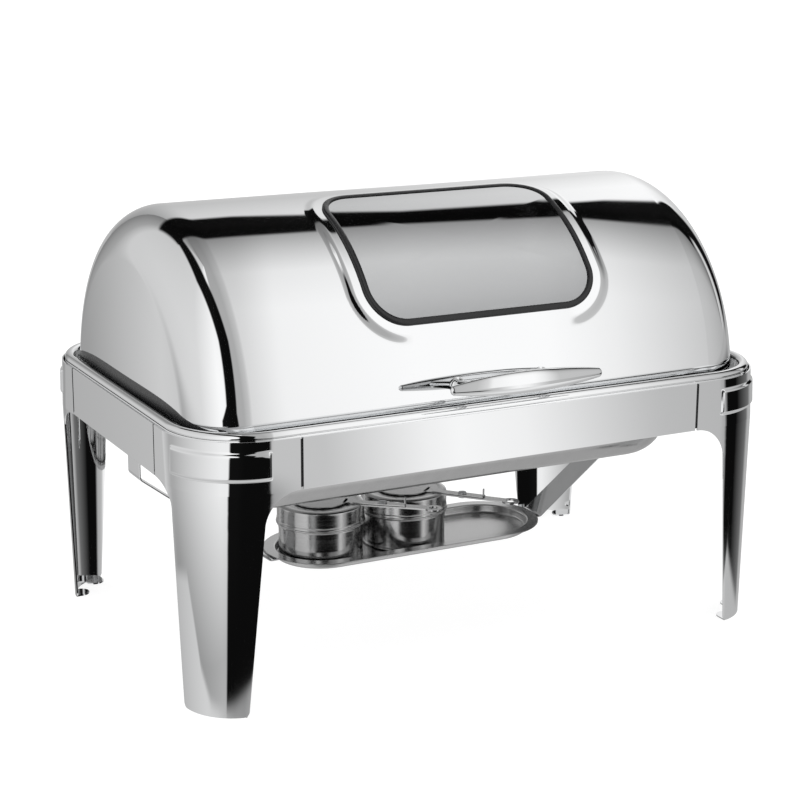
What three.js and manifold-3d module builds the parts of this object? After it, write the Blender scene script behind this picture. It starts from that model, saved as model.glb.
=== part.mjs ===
// Roll top chafing dish: a pressed steel stand, a dome that rolls back on two end pivots, a water pan
// with a food pan in it, and a fuel tray with two lidded burners hung below.
// Millimetres, +Z up, length along X, front towards -Y. The pieces are drawn about the middle of the
// stand; at the end all move back together, so that the origin is under the middle of the whole.
import * as THREE from 'three';
import { mergeVertices } from 'three/addons/utils/BufferGeometryUtils.js';
import Module from 'manifold-3d';

const wasm = await Module();
wasm.setup();

// ---- driving dimensions ------------------------------------------------------------------------
const GAP = 0.3;                 // between pieces that touch
const SHEET = 1.5;               // stand sheet
const THIN = 1.2;                // dome, tray and burner sheet

const LENGTH = 640;              // over the legs
const WIDTH = 436;
const CORNER_TOP = 78;           // plan corner radius at the top of the legs
const CORNER_FOOT = 52;
const FOOT_INSET = 8;            // the legs lean in by this much at the floor
const LEG_TOP = 264;
const SKIRT_BOTTOM = 215;
const LEG_FRONT = 102.6;         // leg width from the outer end, on the long faces
const LEG_SIDE = 98.6;           // and on the short faces
const SEAM = 2.4;                // open seam between leg and skirt

const AXIS_Z = 246;              // height of the dome's pivots
const DOME_RY = 189;             // dome section, half width and rise above the pivots
const DOME_RZ = 198;
const DOME_END = 305;            // half length at the pivots
const END_CROWN = 3;             // how far the end walls bulge
const END_FILLET = 49;           // rounding between end wall and barrel
const EAR = 18;                  // radius of the lug round each pivot
const BUSH_HOLE = 8.3;

const WINDOW_X = 126;            // outside of the window seal, half width
const WINDOW_LOW = 28.8;         // and its lower and upper edges, degrees up from the front
const WINDOW_HIGH = 82;
const WINDOW_CORNER = 40;
const PAD_RISE = 1.6;            // raised panel round the window
const PAD_X = 146;
const WINDOW_OFF = 6.5;          // window and panel sit this far to the right of the middle
const PAD_LOW = 20;
const PAD_HIGH = 95;

const PIN = 6;                   // pivot pin radius
const RIM_TOP = 271;

const CARRIER_Z = 260.3;         // underside of the ring that carries the pans
const PAN_BOTTOM = 166;          // underside of the water pan
const FOOD_DEPTH = 65;           // full-size food pan

const TRAY_Z = 76;               // top face of the fuel tray
const TRAY_HALF_WIDTH = 60.5;
const TROUGH_R = 49;             // half width of the tray's recess, and radius of its round ends
const TROUGH_FLOOR = 67.2;
const BURNER_PITCH = 97;
const STRAP_HALF = 16.5;

const BURNER_R = 44;
const BURNER_X = [-BURNER_PITCH, 0];
const HANDLE_TURN = [-38.7, -48.6];      // direction of each lid's handle, degrees from +X
const LID_TOP = 124.5;
const RIVET_REACH = 66;                  // from the lid's centre to its damper's rivet

// ---- small geometry helpers --------------------------------------------------------------------
const rad = THREE.MathUtils.degToRad;
const mix = (a, b, t) => a + (b - a) * t;

// Welds a geometry down to shared positions.
function weld(geometry) {
  for (const name of Object.keys(geometry.attributes)) {
    if (name !== 'position') geometry.deleteAttribute(name);
  }
  return mergeVertices(geometry, 1e-4);
}

// Triangles without zero-area ones, turned so that the faces point outwards.
function closedGeometry(points, triangles) {
  const raw = new THREE.BufferGeometry();
  raw.setAttribute('position', new THREE.Float32BufferAttribute(points.flat(), 3));
  raw.setIndex(triangles.flat());
  const welded = weld(raw);
  const index = welded.index.array;
  const at = welded.attributes.position;
  const a = new THREE.Vector3();
  const b = new THREE.Vector3();
  const c = new THREE.Vector3();
  const kept = [];
  let volume = 0;
  for (let i = 0; i < index.length; i += 3) {
    const [p, q, r] = [index[i], index[i + 1], index[i + 2]];
    if (p === q || q === r || r === p) continue;
    kept.push(p, q, r);
    a.fromBufferAttribute(at, p);
    b.fromBufferAttribute(at, q);
    c.fromBufferAttribute(at, r);
    volume += a.dot(b.cross(c));
  }
  if (volume < 0) kept.reverse();
  welded.setIndex(kept);
  return welded;
}

// Skin over a list of closed loops of equal length. Without caps the last loop joins the first.
function loft(loops, capped = true) {
  const n = loops[0].length;
  const points = loops.flat();
  const triangles = [];
  const rows = capped ? loops.length - 1 : loops.length;
  for (let i = 0; i < rows; i += 1) {
    const next = (i + 1) % loops.length;
    for (let j = 0; j < n; j += 1) {
      const k = (j + 1) % n;
      triangles.push([i * n + j, i * n + k, next * n + k], [i * n + j, next * n + k, next * n + j]);
    }
  }
  if (capped) {
    for (const [row, flip] of [[0, true], [loops.length - 1, false]]) {
      const middle = [0, 1, 2].map((axis) => loops[row].reduce((sum, p) => sum + p[axis], 0) / n);
      points.push(middle);
      for (let j = 0; j < n; j += 1) {
        const tri = [row * n + j, row * n + ((j + 1) % n), points.length - 1];
        triangles.push(flip ? tri.reverse() : tri);
      }
    }
  }
  return closedGeometry(points, triangles);
}

// Sheet between two matching grids of points.
function sheet(outer, inner) {
  const rows = outer.length;
  const columns = outer[0].length;
  const points = [...outer.flat(), ...inner.flat()];
  const at = (side, i, j) => side * rows * columns + i * columns + j;
  const triangles = [];
  const quad = (a, b, c, d) => triangles.push([a, b, c], [a, c, d]);
  for (let i = 0; i < rows - 1; i += 1) {
    for (let j = 0; j < columns - 1; j += 1) {
      quad(at(0, i, j), at(0, i, j + 1), at(0, i + 1, j + 1), at(0, i + 1, j));
      quad(at(1, i, j), at(1, i + 1, j), at(1, i + 1, j + 1), at(1, i, j + 1));
    }
    quad(at(0, i, 0), at(0, i + 1, 0), at(1, i + 1, 0), at(1, i, 0));
    quad(at(0, i, columns - 1), at(1, i, columns - 1), at(1, i + 1, columns - 1), at(0, i + 1, columns - 1));
  }
  for (let j = 0; j < columns - 1; j += 1) {
    quad(at(0, 0, j), at(1, 0, j), at(1, 0, j + 1), at(0, 0, j + 1));
    quad(at(0, rows - 1, j), at(0, rows - 1, j + 1), at(1, rows - 1, j + 1), at(1, rows - 1, j));
  }
  return closedGeometry(points, triangles);
}

// Rounded rectangle, anticlockwise, starting on the +X side.
function roundRect(hx, hy, r, steps = 6) {
  const out = [];
  for (const [sx, sy, start] of [[1, 1, 0], [-1, 1, 90], [-1, -1, 180], [1, -1, 270]]) {
    for (let i = 0; i <= steps; i += 1) {
      const angle = rad(start + (90 * i) / steps);
      out.push([sx * (hx - r) + r * Math.cos(angle), sy * (hy - r) + r * Math.sin(angle)]);
    }
  }
  return out;
}

const level = (outline, z) => outline.map(([x, y]) => [x, y, z]);

function box(x0, x1, y0, y1, z0, z1) {
  const geometry = new THREE.BoxGeometry(x1 - x0, y1 - y0, z1 - z0);
  geometry.translate((x0 + x1) / 2, (y0 + y1) / 2, (z0 + z1) / 2);
  return weld(geometry);
}

// Turned piece about Z: profile of [radius, height] points.
function turned(profile, segments = 28) {
  const points = profile.map(([r, z]) => new THREE.Vector2(r, z));
  const geometry = weld(new THREE.LatheGeometry(points, segments));
  geometry.rotateX(Math.PI / 2);
  const at = geometry.attributes.position;
  const list = [];
  for (let i = 0; i < at.count; i += 1) list.push([at.getX(i), at.getY(i), at.getZ(i)]);
  const index = [...geometry.index.array];
  const triangles = [];
  for (let i = 0; i < index.length; i += 3) triangles.push(index.slice(i, i + 3));
  return closedGeometry(list, triangles);
}

const rod = (r, z0, z1, segments = 24) => turned([[0, z0], [r, z0], [r, z1], [0, z1]], segments);
const washer = (r0, r1, z0, z1, segments = 24) =>
  turned([[r0, z0], [r1, z0], [r1, z1], [r0, z1], [r0, z0]], segments);

// Lays a piece turned about Z along +X (side 1) or -X (side -1).
function alongX(geometry, side) {
  geometry.rotateY((side * Math.PI) / 2);
  return geometry;
}

const moved = (geometry, x, y, z) => geometry.translate(x, y, z);

// ---- joining and cutting -----------------------------------------------------------------------
function solid(geometry) {
  const welded = weld(geometry.clone());
  return new wasm.Manifold(new wasm.Mesh({
    numProp: 3,
    vertProperties: Float32Array.from(welded.attributes.position.array),
    triVerts: Uint32Array.from(welded.index.array),
  }));
}

function geometryOf(manifold) {
  const mesh = manifold.getMesh();
  const geometry = new THREE.BufferGeometry();
  geometry.setAttribute('position', new THREE.BufferAttribute(mesh.vertProperties, 3));
  geometry.setIndex(new THREE.BufferAttribute(mesh.triVerts, 1));
  return weld(geometry);
}

const joined = (...parts) => parts.map(solid).reduce((a, b) => a.add(b));
const cut = (body, ...tools) => geometryOf(tools.map(solid).reduce((a, b) => a.subtract(b), solid(body)));

// ---- materials ---------------------------------------------------------------------------------
const steel = (name, color, roughness) => {
  const material = new THREE.MeshStandardMaterial({ color, roughness, metalness: 1 });
  material.name = name;
  return material;
};
const plain = (name, color, roughness) => {
  const material = new THREE.MeshStandardMaterial({ color, roughness, metalness: 0 });
  material.name = name;
  return material;
};
const MIRROR = steel('mirror_steel', 0xd9dadb, 0.08);
const SATIN = steel('satin_steel', 0xb9babb, 0.35);
const ZINC = steel('zinc_steel', 0xa7a9ab, 0.45);
const RUBBER = plain('black_rubber', 0x1c1c1d, 0.7);
const NYLON = plain('white_nylon', 0xe7e6e0, 0.5);
const GLASS = plain('clear_glass', 0x5b6062, 0.05);
GLASS.transparent = true;
GLASS.opacity = 0.4;

const chafer = new THREE.Group();

function add(name, geometry, material) {
  const mesh = new THREE.Mesh(geometry, material.clone());
  mesh.name = name;
  chafer.add(mesh);
}

// ---- stand -------------------------------------------------------------------------------------
const inset = (z) => FOOT_INSET * Math.max(0, 1 - z / SKIRT_BOTTOM);
const cornerRadius = (z) => mix(CORNER_FOOT, CORNER_TOP, z / LEG_TOP);

// Leg width below the skirt: a straight taper that sweeps out in a quarter ellipse under the skirt.
function legWidth(z, foot, knee, kneeZ, seam) {
  if (z >= SKIRT_BOTTOM) return seam;
  const straight = mix(foot, knee, Math.min(1, z / kneeZ));
  if (z <= kneeZ) return straight;
  const t = (z - kneeZ) / (SKIRT_BOTTOM - kneeZ);
  return straight + (seam - knee) * (1 - Math.sqrt(1 - t * t));
}
const frontWidth = (z) => legWidth(z, 52, 67.5, 180, LEG_FRONT);
const sideWidth = (z) => legWidth(z, 59, 61.5, 195, LEG_SIDE);

// One level of a leg's skin at offset d inside the outline, from the side edge round to the front edge.
function legRow(z, d, columns, widthSide = sideWidth(z), widthFront = frontWidth(z)) {
  const i = inset(z);
  const hx = LENGTH / 2 - i - d;
  const hy = WIDTH / 2 - i - d;
  const r = cornerRadius(z) - d;
  const sideStart = widthSide - i - d;
  const frontEnd = widthFront - i - d;
  const lengthSide = Math.max(0, sideStart - r);
  const lengthFront = Math.max(0, frontEnd - r);
  const from = Math.asin(Math.min(1, Math.max(0, (r - sideStart) / r)));
  const to = Math.acos(Math.min(1, Math.max(0, (r - frontEnd) / r)));
  const arc = r * (to - from);
  const total = lengthSide + arc + lengthFront;
  const row = [];
  for (let k = 0; k <= columns; k += 1) {
    const s = (total * k) / columns;
    if (s < lengthSide) {
      row.push([-hx, -hy + r + lengthSide - s, z]);
    } else if (s <= lengthSide + arc) {
      const angle = from + (s - lengthSide) / r;
      row.push([-hx + r - r * Math.cos(angle), -hy + r - r * Math.sin(angle), z]);
    } else {
      row.push([-hx + r + s - lengthSide - arc, -hy, z]);
    }
  }
  return row;
}

// Tongue folded in under a foot: a flat tab with a round tip.
function footTab(length, halfWidth) {
  const shape = new THREE.Shape();
  shape.moveTo(0, -halfWidth);
  shape.lineTo(length - halfWidth, -halfWidth);
  shape.absarc(length - halfWidth, 0, halfWidth, -Math.PI / 2, Math.PI / 2, false);
  shape.lineTo(0, halfWidth);
  shape.closePath();
  return new THREE.ExtrudeGeometry(shape, { depth: SHEET, bevelEnabled: false, curveSegments: 5 });
}

const STUD_Z = 240;
const STUD_R = 3;
const STUD_FRONT = 88;           // stud position from the outer end, on each face
const STUD_SIDE = 86;
const WEB_OUT = SHEET + GAP;     // web of the rim ring, from the outline
const WEB_IN = WEB_OUT + SHEET;

// A stud along the inward direction of a face; used at full size for the web's clearance holes.
function studs(radius, reach) {
  const front = rod(radius, 0, reach, 12);
  front.rotateX(-Math.PI / 2);
  moved(front, -LENGTH / 2 + STUD_FRONT, -WIDTH / 2 + SHEET / 2, STUD_Z);
  const side = alongX(rod(radius, 0, reach, 12), 1);
  moved(side, -LENGTH / 2 + SHEET / 2, -WIDTH / 2 + STUD_SIDE, STUD_Z);
  return [front, side];
}

function frontLeftLeg() {
  const columns = 12;
  const heights = [0, 60, 120, 180, 198, 208, 213, SKIRT_BOTTOM, 240, LEG_TOP];
  const skin = sheet(heights.map((z) => legRow(z, 0, columns)), heights.map((z) => legRow(z, SHEET, columns)));
  const i = inset(0);
  const footprint = loft([0, SHEET].map((z) => level(
    roundRect(LENGTH / 2 - i - SHEET / 2, WIDTH / 2 - i - SHEET / 2, CORNER_FOOT - SHEET / 2, 12), z)));
  const front = footTab(31, 14);
  front.rotateZ(Math.PI / 2);
  moved(front, -LENGTH / 2 + 42, -WIDTH / 2 + i, 0);
  const side = moved(footTab(27, 14), -LENGTH / 2 + i, -WIDTH / 2 + 49, 0);
  const tabs = joined(front, side).intersect(solid(footprint));
  return geometryOf(joined(skin, ...studs(STUD_R, 11)).add(tabs));
}

// Mirrors a geometry of the front left corner into another corner.
function corner(geometry, sx, sy) {
  const copy = geometry.clone();
  copy.scale(-sx, -sy, 1);
  if (sx * sy < 0) copy.index.array.reverse();
  return copy;
}
const CORNERS = [['front_left', -1, -1], ['front_right', 1, -1], ['rear_left', -1, 1], ['rear_right', 1, 1]];

function rimRing() {
  // Rolled bead with its outer web down inside the skirts: [offset from the outline, height].
  const section = [
    [WEB_OUT, 219], [WEB_OUT, 262], [3.4, 266.4], [5.2, 269.7], [8.2, RIM_TOP], [11.2, 269.7], [13.2, 266],
    [13.2, 260], [11.7, 260], [11.7, 265.4], [10.3, 268.2], [8.2, 269.4], [6.2, 268.3], [4.9, 265.6],
    [WEB_IN, 261.4], [WEB_IN, 219],
  ];
  const ring = loft(section.map(([d, z]) =>
    level(roundRect(LENGTH / 2 - d, WIDTH / 2 - d, CORNER_TOP - d), z)), false);
  const holes = CORNERS.flatMap(([, sx, sy]) => studs(STUD_R + GAP, 11).map((stud) => corner(stud, sx, sy)));
  return cut(ring, ...holes);
}

function hexNut(acrossFlats, bore, height) {
  return cut(rod(acrossFlats / Math.sqrt(3), 0, height, 6), rod(bore, -1, height + 1, 20));
}

function addStand() {
  add('rim_ring', rimRing(), MIRROR);
  const leg = frontLeftLeg();
  const hx = LENGTH / 2;
  const hy = WIDTH / 2;
  for (const [name, sx, sy] of CORNERS) {
    add(`leg_${name}`, corner(leg, sx, sy), MIRROR);
    const front = hexNut(10, STUD_R + GAP, 5);
    front.rotateX(sy > 0 ? Math.PI / 2 : -Math.PI / 2);
    moved(front, sx * (hx - STUD_FRONT), sy * (hy - WEB_IN - GAP), STUD_Z);
    add(`leg_nut_${name}_long`, front, ZINC);
    const side = alongX(hexNut(10, STUD_R + GAP, 5), -sx);
    moved(side, sx * (hx - WEB_IN - GAP), sy * (hy - STUD_SIDE), STUD_Z);
    add(`leg_nut_${name}_short`, side, ZINC);
  }
  const skirtX = hx - LEG_FRONT - SEAM;
  const skirtY = hy - LEG_SIDE - SEAM;
  add('skirt_front', box(-skirtX, skirtX, -hy, -hy + SHEET, SKIRT_BOTTOM, LEG_TOP), MIRROR);
  add('skirt_rear', box(-skirtX, skirtX, hy - SHEET, hy, SKIRT_BOTTOM, LEG_TOP), MIRROR);
  add('skirt_left', box(-hx, -hx + SHEET, -skirtY, skirtY, SKIRT_BOTTOM, LEG_TOP), MIRROR);
  add('skirt_right', box(hx - SHEET, hx, -skirtY, skirtY, SKIRT_BOTTOM, LEG_TOP), MIRROR);
}

// ---- dome --------------------------------------------------------------------------------------
// Point of the dome: x along, drop below the full section, a degrees up from the front, n outwards.
function domePoint(x, drop, a, n = 0) {
  const c = Math.cos(rad(a));
  const s = Math.sin(rad(a));
  return [x, -(DOME_RY - drop + n) * c, AXIS_Z + (DOME_RZ - drop + n) * s];
}

// Half of the end profile from the pivot out to the barrel: [x, drop below the full section].
function endProfile(thickness) {
  const flat = DOME_RY - END_FILLET;
  const out = [];
  for (const part of [0, 1 / 3, 2 / 3]) {
    out.push([DOME_END - END_CROWN * part * part - thickness, DOME_RY - flat * part]);
  }
  const r = END_FILLET - thickness;
  for (let k = 5; k >= 0; k -= 1) {
    const angle = (Math.PI / 2) * (k / 5);
    const x = DOME_END - END_CROWN - END_FILLET + r * Math.sin(angle);
    out.push([x, END_FILLET - r * Math.cos(angle)]);
  }
  return out;
}

function domeGrid(thickness) {
  const end = endProfile(thickness);
  const panel = [-PAD_X, 12 - PAD_X, PAD_X - 12, PAD_X].map((x) => x + WINDOW_OFF);
  const barrel = [-200, ...panel, 200].map((x) => [x, thickness]);
  const profile = [...end.map(([x, drop]) => [-x, drop]), ...barrel, ...end.reverse()];
  return profile.map(([x, drop]) => {
    const row = [];
    for (let a = 0; a <= 180; a += 7.5) {
      const raised = Math.abs(x - WINDOW_OFF) < PAD_X - 1 && a > PAD_LOW && a < PAD_HIGH ? PAD_RISE : 0;
      const lift = drop >= DOME_RY ? DOME_RY - DOME_RZ : 0;
      row.push(domePoint(x, drop, a, lift ? 0 : raised));
      if (lift) row[row.length - 1][2] = AXIS_Z;
    }
    return row;
  });
}

const WINDOW_MID = (WINDOW_LOW + WINDOW_HIGH) / 2;
const WINDOW_R = (DOME_RY + DOME_RZ) / 2;
const WINDOW_S = rad(WINDOW_HIGH - WINDOW_LOW) * WINDOW_R / 2;

// A point of the window: x across, s up the curve from its middle, n out from the raised panel.
const windowPoint = (x, s, n) =>
  domePoint(x + WINDOW_OFF, 0, WINDOW_MID + THREE.MathUtils.radToDeg(s / WINDOW_R), PAD_RISE + n);

// Rows of the window's rounded outline, grown by t: [height s, half width].
function windowRows(t) {
  const r = WINDOW_CORNER + t;
  const hx = WINDOW_X + t;
  const hs = WINDOW_S + t;
  const rows = [];
  for (let k = 0; k <= 5; k += 1) {
    const angle = (Math.PI / 2) * (k / 5);
    rows.push([-hs + r * (1 - Math.cos(angle)), hx - r + r * Math.sin(angle)]);
  }
  for (let k = 1; k < 8; k += 1) rows.push([mix(-hs + r, hs - r, k / 8), hx]);
  return [...rows, ...rows.slice(0, 6).reverse().map(([s, w]) => [-s, w])];
}

function windowPlate(t, n0, n1) {
  const grid = (n) => windowRows(t).map(([s, w]) =>
    [-1, 0, 1].map((side) => windowPoint(side * w, s, n)));
  return sheet(grid(n1), grid(n0));
}

function windowSeal() {
  // H section: [t outwards from the seal's edge, n above the raised panel].
  const section = [
    [0, 0.4], [0, 1.7], [-2, 2.6], [-7.5, 2.6], [-9, 1.3], [-5.2, 1.3], [-5.2, -2.5], [-9, -2.5],
    [-7.5, -4], [-2, -4], [0, -3.2], [0, -2], [-3.8, -2], [-3.8, 0.4],
  ];
  const loops = section.map(([t, n]) => {
    const rows = windowRows(t);
    const right = rows.map(([s, w]) => windowPoint(w, s, n));
    const left = rows.map(([s, w]) => windowPoint(-w, s, n)).reverse();
    return [...right, ...left];
  });
  return loft(loops, false);
}

const HANDLE_ANGLE = 11.5;       // degrees up from the front, as seen from the pivots
const HANDLE_RADIUS = 242;       // bar's centre line from the pivots
const HANDLE_HALF = 82;
const POST_X = 46;
const POST_R = 5;

// Places a piece modelled with +Z outwards at the handle's line on the dome.
function atHandle(geometry, x, distance) {
  geometry.rotateX(Math.PI / 2 - rad(HANDLE_ANGLE));
  const c = Math.cos(rad(HANDLE_ANGLE));
  const s = Math.sin(rad(HANDLE_ANGLE));
  return moved(geometry, x, -distance * c, AXIS_Z + distance * s);
}

function handleBar() {
  // Spindle: lens section, widest in the middle, with blunt round tips.
  const loops = [];
  for (const t of [-1, -0.985, -0.95, -0.8, -0.6, -0.3, 0, 0.3, 0.6, 0.8, 0.95, 0.985, 1]) {
    const tip = Math.sqrt(Math.max(0.08, Math.min(1, (1 - Math.abs(t)) / 0.05)));
    const swell = (0.36 + 0.64 * (1 - t * t)) * tip;
    const loop = [];
    for (let j = 0; j < 12; j += 1) {
      const angle = (2 * Math.PI * j) / 12;
      loop.push([t * HANDLE_HALF, 10.8 * swell * Math.cos(angle), 7 * swell * Math.sin(angle)]);
    }
    loops.push(loop);
  }
  return loft(loops);
}

const DOME_SURFACE = DOME_RY + 0.4;       // distance of the dome's skin from the pivots at the handle
const BAR_BACK = HANDLE_RADIUS - 6;

function domeShell() {
  const shell = sheet(domeGrid(0), domeGrid(THIN));
  const ears = [-1, 1].map((side) =>
    moved(alongX(rod(EAR, DOME_END - THIN, DOME_END - 0.15), side), 0, 0, AXIS_Z));
  const body = geometryOf(joined(shell, ...ears));
  const bores = [-1, 1].map((side) =>
    moved(alongX(rod(BUSH_HOLE, DOME_END - 8, DOME_END + 4), side), 0, 0, AXIS_Z));
  const screwHoles = [-1, 1].map((side) => atHandle(rod(2.4, -6, 6, 12), WINDOW_OFF + side * POST_X, DOME_SURFACE));
  return cut(body, windowPlate(-3.5, -9, 8), ...bores, ...screwHoles);
}

function addDome() {
  add('dome_shell', domeShell(), MIRROR);
  add('window_seal', windowSeal(), RUBBER);
  add('window_glass', windowPlate(-5.6, -2.1, 0.9), GLASS);
  for (const [name, side] of [['left', -1], ['right', 1]]) {
    const bush = turned([[PIN + GAP, 302], [13, 302], [13, 303.4], [BUSH_HOLE - GAP, 303.4],
      [BUSH_HOLE - GAP, 305.3], [PIN + GAP, 305.3], [PIN + GAP, 302]], 24);
    add(`pivot_bush_${name}`, moved(alongX(bush, side), 0, 0, AXIS_Z), NYLON);
    const post = turned([[2.4, DOME_SURFACE + GAP], [POST_R + 3, DOME_SURFACE + GAP],
      [POST_R + 3, DOME_SURFACE + 2], [POST_R, DOME_SURFACE + 5], [POST_R, BAR_BACK + 3],
      [0, BAR_BACK + 3], [0, DOME_SURFACE + 16], [2.4, DOME_SURFACE + 16], [2.4, DOME_SURFACE + GAP]], 20);
    add(`handle_post_${name}`, atHandle(post, WINDOW_OFF + side * POST_X, 0), MIRROR);
    const screw = turned([[0, -3.4], [4.5, -3.4], [4.5, -0.3], [2, -0.3], [2, 14], [0, 14]], 20);
    add(`handle_screw_${name}`, atHandle(screw, WINDOW_OFF + side * POST_X, DOME_SURFACE - THIN - GAP), ZINC);
  }
  const sockets = [-1, 1].map((side) => atHandle(rod(POST_R + GAP, -20, BAR_BACK + 3 + GAP, 20), WINDOW_OFF + side * POST_X, 0));
  add('handle_bar', cut(atHandle(handleBar(), WINDOW_OFF, HANDLE_RADIUS), ...sockets), MIRROR);
}

// ---- pivots and pan carrier --------------------------------------------------------------------
const PLATE_IN = 299.2;          // hanging plate inside each dome end
const PLATE_OUT = 301.7;
const PLATE_LOW = 205;
const PLATE_HALF = 22;
const STRAP_BOLT_Z = 216;
const STRAP_BOLT_Y = 9;
const RIVET_X = 280;
const FRICTION_WASHER = [305.6, 308.6, 14];    // inner and outer face, radius
const SHOULDER = [308.9, 314.1, 12];
const BRACKET = [314.4, 316.4];

function mirroredX(geometry, side) {
  if (side > 0) return geometry;
  geometry.scale(-1, 1, 1);
  geometry.index.array.reverse();
  return geometry;
}

const pivotRod = (r, x0, x1, segments = 24) => moved(alongX(rod(r, x0, x1, segments), 1), 0, 0, AXIS_Z);

function pivotPlate() {
  const body = geometryOf(joined(
    box(PLATE_IN, PLATE_OUT, -PLATE_HALF, PLATE_HALF, PLATE_LOW, CARRIER_Z - GAP),
    box(268, PLATE_OUT, -PLATE_HALF, PLATE_HALF, CARRIER_Z - GAP - 2.5, CARRIER_Z - GAP),
  ));
  const boltHoles = [-1, 1].map((y) =>
    moved(alongX(rod(2.6, PLATE_IN - 2, PLATE_OUT + 2, 12), 1), 0, y * STRAP_BOLT_Y, STRAP_BOLT_Z));
  const rivetHole = moved(rod(2.6, CARRIER_Z - 8, CARRIER_Z + 2, 12), RIVET_X, 0, 0);
  return cut(body, pivotRod(PIN + GAP, PLATE_IN - 2, PLATE_OUT + 2), ...boltHoles, rivetHole);
}

function pivotPin() {
  const [s0, s1, sr] = SHOULDER;
  const pin = turned([[0, 290.5], [PIN - 0.8, 290.5], [PIN, 291.5], [PIN, s0], [sr, s0], [sr, s1], [PIN, s1],
    [PIN, BRACKET[1] - 0.2], [0, BRACKET[1] - 0.2]], 24);
  return moved(alongX(pin, 1), 0, 0, AXIS_Z);
}

function carrierRing() {
  // Flat ring, inside corners tighter than the pans': [half length, half width, corner radius, height].
  const ring = loft([
    [291, 176, 45, CARRIER_Z], [291, 176, 45, CARRIER_Z + 2], [274, 166.5, 28, CARRIER_Z + 2],
    [274, 166.5, 28, CARRIER_Z],
  ].map(([hx, hy, r, z]) => level(roundRect(hx, hy, r), z)), false);
  const holes = [-1, 1].map((side) => moved(rod(2.6, CARRIER_Z - 3, CARRIER_Z + 6, 12), side * RIVET_X, 0, 0));
  return cut(ring, ...holes);
}

function addPivots() {
  add('carrier_ring', carrierRing(), SATIN);
  for (const [name, side] of [['left', -1], ['right', 1]]) {
    const bracket = cut(box(...BRACKET, -24, 24, 224, 257), pivotRod(PIN + GAP, 312, 318));
    add(`pivot_bracket_${name}`, mirroredX(bracket, side), ZINC);
    add(`pivot_pin_${name}`, mirroredX(pivotPin(), side), ZINC);
    const [w0, w1, wr] = FRICTION_WASHER;
    const friction = moved(alongX(washer(PIN + GAP, wr, w0, w1), 1), 0, 0, AXIS_Z);
    add(`friction_washer_${name}`, mirroredX(friction, side), RUBBER);
    add(`pivot_plate_${name}`, mirroredX(pivotPlate(), side), SATIN);
    const nut = moved(alongX(hexNut(18, PIN + GAP, 6.6), 1), PLATE_IN - GAP - 6.6, 0, AXIS_Z);
    add(`pivot_nut_${name}`, mirroredX(nut, side), ZINC);
    const rivet = turned([[0, 254.8], [4, 255.4], [4.2, 257.2], [2.3, 257.2], [2.3, 262.2], [0, 262.2]], 16);
    add(`carrier_rivet_${name}`, moved(rivet, side * RIVET_X, 0, 0), ZINC);
    for (const [place, y] of [['front', -STRAP_BOLT_Y], ['rear', STRAP_BOLT_Y]]) {
      const head = PLATE_IN - GAP - SHEET - GAP;
      const bolt = turned([[0, head - 3], [4.3, head - 3], [4.3, head], [2.3, head], [2.3, 301.5], [0, 301.5]], 12);
      add(`strap_bolt_${name}_${place}`,
        mirroredX(moved(alongX(bolt, 1), 0, y, STRAP_BOLT_Z), side), ZINC);
    }
    const bumper = box(side * 150 - 14, side * 150 + 14, -WIDTH / 2 + WEB_IN + GAP, -DOME_RY + 5,
      AXIS_Z - 10, AXIS_Z - GAP);
    add(`closing_bumper_${name}`, bumper, RUBBER);
  }
}

// ---- pans --------------------------------------------------------------------------------------
// Pressed pan: levels of [half length, half width, corner radius, height], capped at both ends.
const pressedPan = (levels) => loft(levels.map(([hx, hy, r, z]) => level(roundRect(hx, hy, r), z)));

// Wall levels of a pan from the opening down to its flat floor.
function panWall(hx, hy, r, top, bottom, draft, fillet) {
  const out = [[hx, hy, r, top], [hx - draft, hy - draft, r - draft / 2, bottom + fillet]];
  for (let k = 1; k <= 4; k += 1) {
    const angle = (Math.PI / 2) * (k / 4);
    const drop = draft + fillet * (1 - Math.cos(angle));
    out.push([hx - drop, hy - drop, Math.max(8, r - drop), bottom + fillet * (1 - Math.sin(angle))]);
  }
  return out;
}

const WATER_RIM = CARRIER_Z + 2 + GAP;
const WATER_RIM_TOP = WATER_RIM + SHEET;
const FOOD_RIM = WATER_RIM_TOP + GAP;

function addPans() {
  const water = pressedPan([
    ...panWall(256.8, 153.8, 60.8, WATER_RIM_TOP, PAN_BOTTOM + THIN, 5, 37).reverse(),
    [288.5, 173.5, 42.5, WATER_RIM_TOP], [288.5, 173.5, 42.5, WATER_RIM],
    ...panWall(258, 155, 62, WATER_RIM, PAN_BOTTOM, 5, 38),
  ]);
  add('water_pan', water, MIRROR);
  const food = pressedPan([
    ...panWall(251, 148.5, 56, FOOD_RIM + THIN, FOOD_RIM - FOOD_DEPTH + THIN, 7, 15).reverse(),
    [265, 162.5, 40, FOOD_RIM + THIN], [265, 162.5, 40, FOOD_RIM],
    ...panWall(252.2, 149.7, 57.2, FOOD_RIM, FOOD_RIM - FOOD_DEPTH, 7, 16),
  ]);
  add('food_pan', food, SATIN);
}

// ---- fuel tray and burners ---------------------------------------------------------------------
const STRAP_OUT = PLATE_IN - GAP;          // outer face of the straps where they meet the plates

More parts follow.
